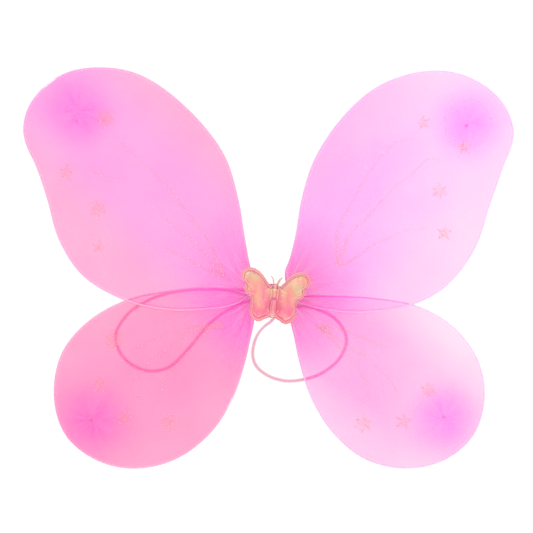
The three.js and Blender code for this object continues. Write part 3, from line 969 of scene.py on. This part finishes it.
class Butterfly:
    """The butterfly's own frame: across and up from its middle, forward from its back film's rear face."""

    def __init__(self):
        turn = math.radians(6)
        self.raised = math.radians(16)
        self.right = np.array([math.cos(turn), 0, -math.sin(turn)])
        self.up = np.array([math.sin(turn), 0, math.cos(turn)])
        self.origin = centre("butterfly_foam_body") + 1.7 * self.up + 0.1 * self.right
        self.origin[1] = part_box("butterfly_back_film")[1].y / MM
        outline = spline(HALF_BUTTERFLY, 300)
        run = np.linspace(0, 1, len(outline))
        turn = 2 * math.pi * run
        wavy = 0.16 * np.cos(62 * turn) + 0.14 * np.cos(27 * turn + 2 * np.sin(17 * run))
        wavy *= np.clip(np.minimum(run, 1 - run) * 30, 0, 1)
        self.outline = outline + wavy[:, None] * right_of(outline)
        self.outline[0, 0] = self.outline[-1, 0] = 0
        middle = np.linspace(self.outline[-1, 1], self.outline[0, 1], 64)[1:-1]
        self.loop = np.vstack([self.outline, np.column_stack([0 * middle, middle])])
        reaches, angles = polar(self.loop - PAD_CENTRE)
        order = np.argsort(angles)
        self.angles, self.reaches = angles[order], reaches[order]
        self.cloth = self.inflate()

    def inflate(self):
        """Blows one wing's film up as a cloth held at its seam and the body. Returns a grid of heights."""
        across, up = (np.arange(low, high, CLOTH_STEP) for low, high in zip(CLOTH_LOW, CLOTH_HIGH))
        flat = np.stack(np.meshgrid(across, up), axis=-1).reshape(-1, 2)
        held = (self.inset(flat) < BORDER) | ~within(flat, self.loop) | (flat[:, 0] < 3.2)
        uneven = np.array([0.25 + 0.1 * noise.noise((x, y, 4.0)) for x, y in flat])
        mesh = bpy.data.meshes.new("cloth")
        start = np.column_stack([flat, np.where(held, 0, uneven)])
        mesh.from_pydata((start * CLOTH_SCALE).tolist(), [], grid_faces(len(up), len(across)))
        piece = bpy.data.objects.new("cloth", mesh)
        bpy.context.scene.collection.objects.link(piece)
        pins = piece.vertex_groups.new(name="held")
        pins.add([int(k) for k in np.flatnonzero(held)], 1.0, "REPLACE")
        cloth = piece.modifiers.new("cloth", "CLOTH")
        cloth.point_cache.frame_end = CLOTH_FRAMES
        cloth.settings.vertex_group_mass = "held"
        for key, value in CLOTH.items():
            setattr(cloth.settings, key, value)
        cloth.settings.effector_weights.gravity = 0
        scene = bpy.context.scene
        first = scene.frame_current
        for number in range(1, CLOTH_FRAMES + 1):
            scene.frame_set(number)
        blown = piece.evaluated_get(bpy.context.evaluated_depsgraph_get()).data
        heights = np.array([v.co.z for v in blown.vertices]) / CLOTH_SCALE
        bpy.data.objects.remove(piece)
        bpy.data.meshes.remove(mesh)
        scene.frame_set(first)
        return heights.reshape(len(up), len(across))

    def to_world(self, across, up, forward):
        """World points in millimetres. Each wing leans forward from the middle."""
        a = np.abs(across)
        lean = smooth_step(a, 0, 5)
        x = np.sign(across) * (a * math.cos(self.raised) - forward * math.sin(self.raised) * lean)
        out = a * math.sin(self.raised) + forward * math.cos(self.raised)
        in_plane = x[:, None] * self.right + up[:, None] * self.up
        return self.origin + in_plane - out[:, None] * np.array([0, 1, 0])

    def share(self, p):
        """Distance from the pad's centre as a share of the way to the outline."""
        far, angle = polar(p - PAD_CENTRE)
        return far / np.interp(angle, self.angles, self.reaches, period=2 * math.pi)

    def inset(self, p):
        return edge_distance(p, self.outline)

    def front(self, p):
        """How far forward the front film lies at points of one half."""
        a, v = p[:, 0], p[:, 1]
        r, d = self.share(p), self.inset(p)
        base = 1.1 + 0.08 * np.sin(9 * polar(p - PAD_CENTRE)[1])
        fine = np.array([noise.noise((x / 3.2, y / 3.2, 8.1)) for x, y in p])
        broad = np.array([noise.noise((x / 8, y / 8, 1.3)) for x, y in p])
        blown = sample(self.cloth, CLOTH_LOW, CLOTH_STEP, p)
        rise = smooth_step(d, BORDER - 0.2, BORDER + 1.6) * smooth_step(a, 2.9, 4.6)
        pad = base + rise * (1.05 * blown + 0.35 * broad + 0.15 * fine)
        for notch in np.array(NOTCHES):
            inner = notch + 0.62 * (PAD_CENTRE + (0, 2) - notch)
            pad -= 1.1 * rise * bell(edge_distance(p, np.array([notch, inner])), 1.5)
        for line in SEAMS:
            pad -= 0.3 * bell(d - line, 0.4)
        foam_edge = 0.82
        foam = 0.7 + 4.8 * dome(r / foam_edge)
        pad = np.maximum(pad, np.where(r < foam_edge, foam + FILM + 0.15, 0))

        beyond = np.maximum(v - 9.5, 0) + np.maximum(-16.5 - v, 0)
        waist = bell(v - 0.3, 1.8)
        half = 3.5 + 0.25 * smooth_step(-v, 2, 10) - 0.55 * waist
        ridge = base + (5.4 - 0.35 * waist) * dome(np.hypot(a, beyond) / half)
        ridge -= 0.28 * bell(a - 1.5, 0.35) * smooth_step(-v, 1, 5) * smooth_step(v, -18, -14)
        flank = base + (2.2 + 1.5 * smooth_step(v, -6, 6)) * bell(a - 3.6, 2.1) * smooth_step(d, 1, 4)
        head = base + 4.8 * dome(np.hypot(a, v - 13.4) / 2.9)
        return np.max([pad, ridge + 0.12 * fine, flank + 0.12 * fine, head], axis=0)

    def marks(self, world):
        """What the film's colour follows: seams, pale lines that stand up beside them (painted highlights),
        flat border, relief (painted shade in creases, painted highlights on ridges) and the tack.
        """
        away = world - self.origin
        p = np.stack([np.abs(away @ self.right) / math.cos(self.raised), away @ self.up], axis=1)
        d = self.inset(p)
        around = [self.front(p + step) for step in ((0.8, 0), (-0.8, 0), (0, 0.8), (0, -0.8))]
        return {
            "seam": np.max([bell(d - line, 0.4) for line in SEAMS], axis=0),
            # Pale lines beside the seams, for painted highlights.
            "welt": np.max([bell(d - line, 0.45) for line in WELT_HIGHLIGHTS], axis=0),
            "border": 1 - smooth_step(d, BORDER - 0.8, BORDER + 0.3),
            # Height against the mean of its neighbours; the film paints shade in its creases and highlights
            # on its ridges from it.
            "relief": self.front(p) - np.mean(around, axis=0),
            "tack": bell(np.hypot(p[:, 0], p[:, 1] - 0.3), 2.0),
        }


def wing_sheet(butterfly, front, rear, rings):
    """Both wings as one closed sheet between two surfaces, each given as forward(points)."""
    share = 1 - (1 - np.linspace(0, 1, rings)[1:]) ** 1.25
    loop = butterfly.loop
    flat = (PAD_CENTRE + share[:, None, None] * (loop - PAD_CENTRE)).reshape(-1, 2)
    flat = np.vstack([flat, PAD_CENTRE])
    parts = []
    for side in (1, -1):
        across = side * flat[:, 0]
        layers = [butterfly.to_world(across, flat[:, 1], surface(flat)) for surface in (front, rear)]
        count, n = len(loop), len(flat)  # points of one ring and of one layer
        faces = []
        for first in (0, n):
            faces += grid_faces(rings - 1, count, first, wrap=True)
            faces += [(first + k, first + (k + 1) % count, first + n - 1) for k in range(count)]
        rim = (rings - 2) * count
        faces += [(k, k + 1, n + k + 1, n + k) for k in range(rim, rim + len(butterfly.outline) - 1)]
        parts.append((np.vstack(layers), faces))
    return join(parts)


def build_butterfly(butterfly, film_look, trim_look, thread_look, wadding_look):
    def rear_face(p):
        return 0.06 * np.sin(p[:, 0] / 2.3) * np.cos(p[:, 1] / 3.1)

    sheet = wing_sheet(butterfly, butterfly.front, lambda p: butterfly.front(p) - FILM, 44)
    front = add_mesh("butterfly_front", *sheet, film_look, "film", "centre", weld=WELD)
    paint(front, **butterfly.marks(points_of(front)))
    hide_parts("butterfly_front_film")

    sheet = wing_sheet(butterfly, lambda p: rear_face(p) + 0.35, rear_face, 16)
    back = add_mesh("butterfly_back", *sheet, film_look, "film", "centre", weld=WELD)
    marks = butterfly.marks(points_of(back))
    paint(back, seam=marks["seam"], border=marks["border"])
    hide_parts("butterfly_back_film")

    stitch = 1.6  # from the start of one stitch to the start of the next
    starts, ends = [], []
    for inset in SEAMS:
        line = butterfly.outline + inset * right_of(butterfly.outline)
        line = line[(butterfly.inset(line) > 0.93 * inset) & (line[:, 0] > 0.4)]
        line = resample(line, np.linspace(0, 1, 2 * int(run_length(line) / stitch)))
        forward = butterfly.front(line) + 0.1
        for side in (1, -1):
            world = butterfly.to_world(side * line[:, 0], line[:, 1], forward)
            keep = lengths(world[1::2] - world[::2]) < stitch
            starts += list(world[::2][keep])
            ends += list(world[1::2][keep])
    add_mesh("butterfly_stitches", *capsules(starts, ends, 0.15, 5), thread_look, "thread", "centre")

    tip = butterfly.to_world(np.array([0.0]), np.array([0.3]), np.array([6.15]))[0]
    turns = np.linspace(0, 5 * math.pi, 60)
    wound = tip + np.stack([np.cos(turns), -0.1 - 0.25 * np.sin(0.4 * turns), 0.75 * np.sin(turns)], axis=1)
    add_mesh("butterfly_tack", *sweep(wound, circle(0.22, 6), (0, 1, 0)), thread_look, "thread", "centre")

    feelers = (("left", -1, ((1.9, 16.0), (2.9, 19.4), (4.3, 22.6), (7.4, 24.8)), 0.65),
               ("right", 1, ((2.2, 15.6), (3.6, 18.6), (5.3, 21.6), (8.0, 24.2)), 1.15))
    steps = 40
    rise = 1.4 + 1.7 * np.linspace(0, 1, steps) ** 1.5
    taper = 1 - 0.75 * np.abs(np.linspace(-0.55, 1, steps)) ** 2.2
    for name, side, points, half in feelers:
        line = spline(points, steps)
        path = butterfly.to_world(side * line[:, 0], line[:, 1], rise)
        strip = sweep(path, circle(half, 12) * np.array([1.0, 0.34]), (0, 1, 0), scale=taper)
        curled = add_mesh(f"butterfly_feeler_{name}", *strip, trim_look, "film", "centre")
        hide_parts(f"butterfly_antenna_{name}")
    for node in ("butterfly_foam_left", "butterfly_foam_right", "butterfly_foam_body"):
        dress(node, wadding_look)


def dress(node, look):
    """Gives a CAD node that stays in view its finish."""
    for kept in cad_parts[node].material_slots:
        kept.material = look


# ---- elastic arm loops ----
def build_strap(name, bodies, start, lead_in, lead_out, turned, looks):
    """Ribbed elastic along the CAD strap, its ends laid on the wrap and held by a stitched cross.

    `turned` is a place along the strap where it lies half edge-on, and by how much.
    """
    rings = walk_rings(name, start)
    path = spline(np.vstack([lead_in, rings, lead_out[::-1]]), 320)
    half, ribs = STRAP_WIDTH / 2, 5
    across = np.linspace(-half, half, 25)
    rib = 0.36 + 0.14 * np.abs(np.sin(ribs * math.pi * (across + half) / STRAP_WIDTH))
    rib[[0, -1]] = 0.2
    section = np.vstack([np.stack([across, rib], axis=1), np.stack([across, -rib], axis=1)[::-1]])
    run = np.linspace(0, 1, len(path))
    sway = 0.10 * np.sin(11 * run + len(name)) * np.sin(math.pi * run)
    sway += turned[1] * bell(run - turned[0], 0.06)
    points, faces = sweep(path, section, (0, 1, 0), twist=sway)
    piece = add_mesh(f"{name}_elastic", points, faces, looks[0], "elastic")
    along = np.repeat(run * run_length(path), len(section))
    paint(piece, along=along, across=np.tile(section[:, 0] / half, len(path)))
    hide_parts(name)
    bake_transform(piece)
    starts, ends = [], []
    for end, inner in ((lead_in, rings[0]), (lead_out, rings[-1])):
        middle = (np.array(end[-1], float) + end[0]) / 2
        along = unit((inner - end[0]) * np.array([1, 0, 1]))
        side = np.array([-along[2], 0, along[0]])
        rear = middle + np.array([0, 0.52, 0])
        corners = [rear + a * 1.5 * along + b * 1.3 * side for a, b in ((-1, -1), (1, -1), (1, 1), (-1, 1))]
        for a, b in ((0, 1), (1, 2), (2, 3), (3, 0), (0, 2), (1, 3)):
            steps = np.linspace(0, 1, 5)
            line = corners[a] + steps[:, None] * (corners[b] - corners[a])
            starts += [p + 0.12 * (q - p) for p, q in zip(line, line[1:])]
            ends += [q - 0.12 * (q - p) for p, q in zip(line, line[1:])]
    add_mesh(f"{name}_stitches", *capsules(starts, ends, 0.13, 5), looks[1], "thread", bodies[0])


# ---- taped centre, felt patch and glue ----
def build_tape(side, look):
    """Half of the wound centre: solid in the middle, and open where the wires come out."""
    lip, pitch = 16.3, 3.3
    turn = full_turn(72)

    def ring(x, inset, wound=0.0, pinch=1.0):
        """The tape's outline at a place across, less an inset, plus how far the winding stands out there."""
        wide = smooth_step(x, 5, 9)
        depth, top, bottom = 4.55 + 0.3 * wide - inset, 8.8 + 0.5 * wide - inset, 8.8 + 2.0 * wide - inset
        c, s = np.cos(turn), np.sin(turn)
        y = depth * np.sign(c) * np.abs(c) ** 0.36
        z = np.where(s > 0, top, bottom) * np.sign(s) * np.abs(s) ** 0.61
        if wound:
            winding = (x + 0.13 * z + 0.5 * np.sin(turn)) / pitch % 1.0
            lift = 0.1 + wound * winding ** 0.6 + 0.05 * np.sin(7 * turn + x)
            lift = np.where(winding > 0.93, lift * (1 - (winding - 0.93) / 0.07), lift)
            stretch = pinch * (1 + lift / np.hypot(y, z))
            y, z = y * stretch, z * stretch
        return np.stack([np.full(len(turn), x), y, z], axis=1)

    rings = []
    for x in np.linspace(0.1, lip - 0.25, 88):
        rings.append(ring(x, 0, wound=0.3, pinch=1 - 0.03 * bell(x - 11, 1.6)))
    # The lip turns inwards, and the lining runs back to the solid middle.
    lining = ((lip, 0.35), (lip - 0.2, 0.8), (14, 0.95), (12, 0.95), (10, 0.95), (8.2, 1.0), (6.9, 1.1))
    rings += [ring(x, inset) for x, inset in lining]
    root = "left_root" if side < 0 else "right_root"
    points, faces = tube(rings)
    points = points * np.array([side, 1, 1]) + np.array([0, centre(f"{root}_wrap")[1], 0])
    piece = add_mesh(f"{root}_tape", points, faces, look, "tape")
    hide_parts(f"{root}_wrap", *(["centre_binding"] if side < 0 else []))
    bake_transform(piece)


def build_patch(felt_look, thread_look):
    """Felt pad on the wearer's side: soft rolled edges and a running stitch."""
    low, high = box_mm("back_patch")
    half = (high - low) / 2
    turn = full_turn(96)
    c, s = np.cos(turn), np.sin(turn)

    def ring(inset, y):
        x = (half[0] - inset) * np.sign(c) * np.abs(c) ** 0.42
        z = (half[2] - inset) * np.sign(s) * np.abs(s) ** 0.34
        wave = np.array([0.09 * noise.noise((u / 1.7, v / 1.7, 4.0)) for u, v in zip(x, z)])
        return np.stack([x, y + wave, z], axis=1)

    # Insets from the pad's outline and heights over its front, from the rear face round to the front one.
    profile = (
        (3.2, 1.5), (1.6, 1.48), (0.8, 1.4), (0.3, 1.22), (0.05, 0.9), (0.0, 0.6), (0.15, 0.25), (0.6, 0.03))
    pad = tube([ring(inset, low[1] + y - 0.05) for inset, y in profile])
    piece = add_mesh("felt_patch", *pad, felt_look, "felt", "centre")
    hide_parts("back_patch")
    loop = ring(1.25, low[1] + 1.42)
    loop = resample(np.vstack([loop, loop[:1]]), np.linspace(0, 1, 61))
    stitches = capsules(loop[:-1:2], loop[1::2], 0.16)
    add_mesh("felt_patch_stitches", *stitches, thread_look, "thread", "centre")


def build_glue(look):
    """A squeezed blob of glue between the taped centre and the butterfly."""
    low, high = box_mm("butterfly_glue_pad")
    middle, half = (low + high) / 2, (high - low) / 2
    turn = full_turn(60)
    rings = []
    for share in np.linspace(-1, 1, 15):
        bulge = 0.82 + 0.18 * math.sqrt(max(0.0, 1 - share * share)) + 0.1 * share * share
        reach = half[0] * bulge * (1 + 0.05 * np.cos(3 * turn + share) + 0.04 * np.cos(7 * turn - 2 * share))
        y = middle[1] + share * (half[1] + 0.1)
        rings.append(flat_ring(middle[0] + reach * np.cos(turn), y, middle[2] + reach * np.sin(turn)))
    piece = add_mesh("glue_blob", *tube(rings), look, "glue", "centre")
    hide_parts("butterfly_glue_pad")


# ---- stage, light and camera ----
def studio():
    low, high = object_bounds()
    middle = (low + high) / 2
    room_below = 0.26
    bpy.ops.mesh.primitive_plane_add(size=14, location=(0, 0, low.z - room_below))
    floor = bpy.context.object
    floor.name = "floor"
    floor.data.materials.append(pale_floor())
    floor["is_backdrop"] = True

    world = bpy.data.worlds.new("studio")
    bpy.context.scene.world = world
    world.use_nodes = True
    tree = world.node_tree
    tree.nodes.clear()
    ambient = 0.8  # the world's light on the wings; the camera itself sees the backdrop
    strength = put(tree, "LightPath") * (BACKDROP - ambient) + ambient
    shade = put(tree, "Background", {"Color": (1, 1, 1, 1), "Strength": strength})
    put(tree, "OutputWorld", {"Surface": shade})

    lamps = (  # name, place in metres, size and power
        ("key", (-0.9, -1.5, 1.5), 1.6, 13),
        ("fill", (1.3, -1.2, 0.2), 1.8, 5),
        ("back", (0.4, 1.6, 1.0), 1.8, 11))
    for name, place_at, size, power in lamps:
        light = bpy.data.lights.new(name, "AREA")
        light.size = size
        light.energy = power
        lamp = bpy.data.objects.new(name, light)
        lamp.location = place_at
        lamp.rotation_euler = (middle - Vector(place_at)).to_track_quat("-Z", "Y").to_euler()
        bpy.context.scene.collection.objects.link(lamp)

    width = 0.5885  # metres seen across the frame at the wings
    away = 1.8
    lens = bpy.data.cameras.new("camera")
    lens.lens = lens.sensor_width * away / width
    camera = bpy.data.objects.new("camera", lens)
    camera.location = (middle.x - 0.0022, -away, middle.z + 0.0018)
    camera.rotation_euler = (math.pi / 2, 0, 0)
    bpy.context.scene.collection.objects.link(camera)
    bpy.context.scene.camera = camera
    bpy.context.scene.view_settings.view_transform = "Standard"


# ---- build ----
chance = random.Random(11)
lobes = {name: Lobe(name) for name in LOBES}
wire_look = coated_wire()
wadding_look = mottled("wadding", (0.8, 6.0, 0.7), (0.98, 0.9, 0.93), (0.86, 0.78, 0.82), (0.8, 0.6),
                       {"Roughness": 0.95, "Sheen Weight": 0.4})
glue_look = mottled("hot_glue", (0.25, 2.0), (0.93, 0.88, 0.78), (0.82, 0.74, 0.62), (0.2, 0.5),
                    {"Roughness": 0.22, "Subsurface Weight": 0.3, "Subsurface Scale": 2 * MM})
thread_look = woven("pink_thread", (0.98, 0.5, 0.8), (0.9, 0.3, 0.62), 1.6, depth=0.12)
knot_look = woven("knot_thread", (1.0, 0.72, 0.93), (0.98, 0.6, 0.88), 1.6, depth=0.12)
stitch_look = woven("stitch_thread", (0.86, 0.26, 0.36), (0.6, 0.1, 0.2), 1.6, depth=0.08)
tape_look = woven("satin_tape", (0.95, 0.36, 0.68), (0.86, 0.2, 0.52), 1.1, roughness=0.5, depth=0.15)
felt_look = woven("felt", (0.88, 0.2, 0.52), (0.72, 0.1, 0.36), 0.5, roughness=0.98, depth=0.5, sheen=0.8)
salmon = ((0.97, 0.33, 0.47), (0.98, 0.45, 0.5), (0.99, 0.54, 0.6), (0.96, 0.37, 0.55))
# Pale colours of the few flakes painted as glints.
glint_colours = ((1.0, 0.8, 0.85), (1.0, 0.92, 0.9), (0.98, 0.7, 0.82))
glitter_looks = {"print": glitter("salmon_glitter", salmon), "spark": glitter("bright_glitter", glint_colours)}
TUFT_COVER = ((0, 0.25), (250, 0.25), 0.0), (0.3, 0.25)
# On the right lobes the cover in the open falls from the middle outwards: painted light, the right side being
# lit brighter.
YARN = {  # what `nylon` takes: cover in the open, cover where it is tied, and colours
    "upper_left": (((30, 0.67), (150, 0.66), 0.03), (0.81, 0.84),
                   ((0.97, 0.10, 0.63), (0.98, 0.11, 0.64), (0.98, 0.12, 0.49), (0.98, 0.11, 0.68))),
    "upper_right": (((30, 0.63), (250, 0.385), 0.05), (0.80, 0.69),
                    ((0.96, 0.10, 0.60), (0.98, 0.12, 0.78), (0.98, 0.12, 0.70), (0.99, 0.12, 0.86))),
    "lower_left": (((30, 0.74), (120, 0.745), 0.05), (0.84, 0.87),
                   ((0.97, 0.10, 0.62), (0.98, 0.11, 0.44), (0.98, 0.12, 0.43), (0.97, 0.10, 0.54))),
    "lower_right": (((90, 0.62), (220, 0.44), 0.17), (0.81, 0.73),
                    ((0.96, 0.10, 0.62), (0.98, 0.11, 0.62), (0.98, 0.12, 0.62), (0.98, 0.11, 0.75))),
}
for name, lobe in lobes.items():
    open_cover_and_light, tied_cover, colours = YARN[name]
    build_wire(lobe, wire_look)
    above = lobes.get(name.replace("lower", "upper")) if name.startswith("lower") else None
    build_cover(lobe, nylon(lobe, f"nylon_{name}", open_cover_and_light, tied_cover, colours), above)
    build_tie(lobe, thread_look)
    build_knot(lobe, nylon(lobe, f"tuft_{name}", *TUFT_COVER, colours), knot_look)
    build_glitter(lobe, glitter_looks, chance)

butterfly = Butterfly()
film_look, trim_look = iridescent_film("film", butterfly), iridescent_film("film_trim")
build_butterfly(butterfly, film_look, trim_look, stitch_look, wadding_look)
for side in (-1, 1):
    build_tape(side, tape_look)
build_patch(felt_look, thread_look)
build_glue(glue_look)
dress("centre_wire_twist", wire_look)
elastic_looks = (knitted_elastic(), stitch_look)
build_strap("left_strap", ("left_root", "strap_left"), (-15, -0.4, 4.5),
            ((-9.5, -0.9, 4.2), (-12.5, -0.6, 4.4)), ((-9.5, -0.9, -4.2), (-12.5, -0.6, -4.4)),
            (0.45, 0.5), elastic_looks)
build_strap("right_strap", ("right_root", "strap_right"), (9.8, -0.4, -10.2),
            ((11.4, -0.8, -5.0), (10.8, -0.6, -7.8)), ((14.2, -0.8, -5.0), (14.9, -0.6, -7.8)),
            (0.13, 0.8), elastic_looks)

studio()
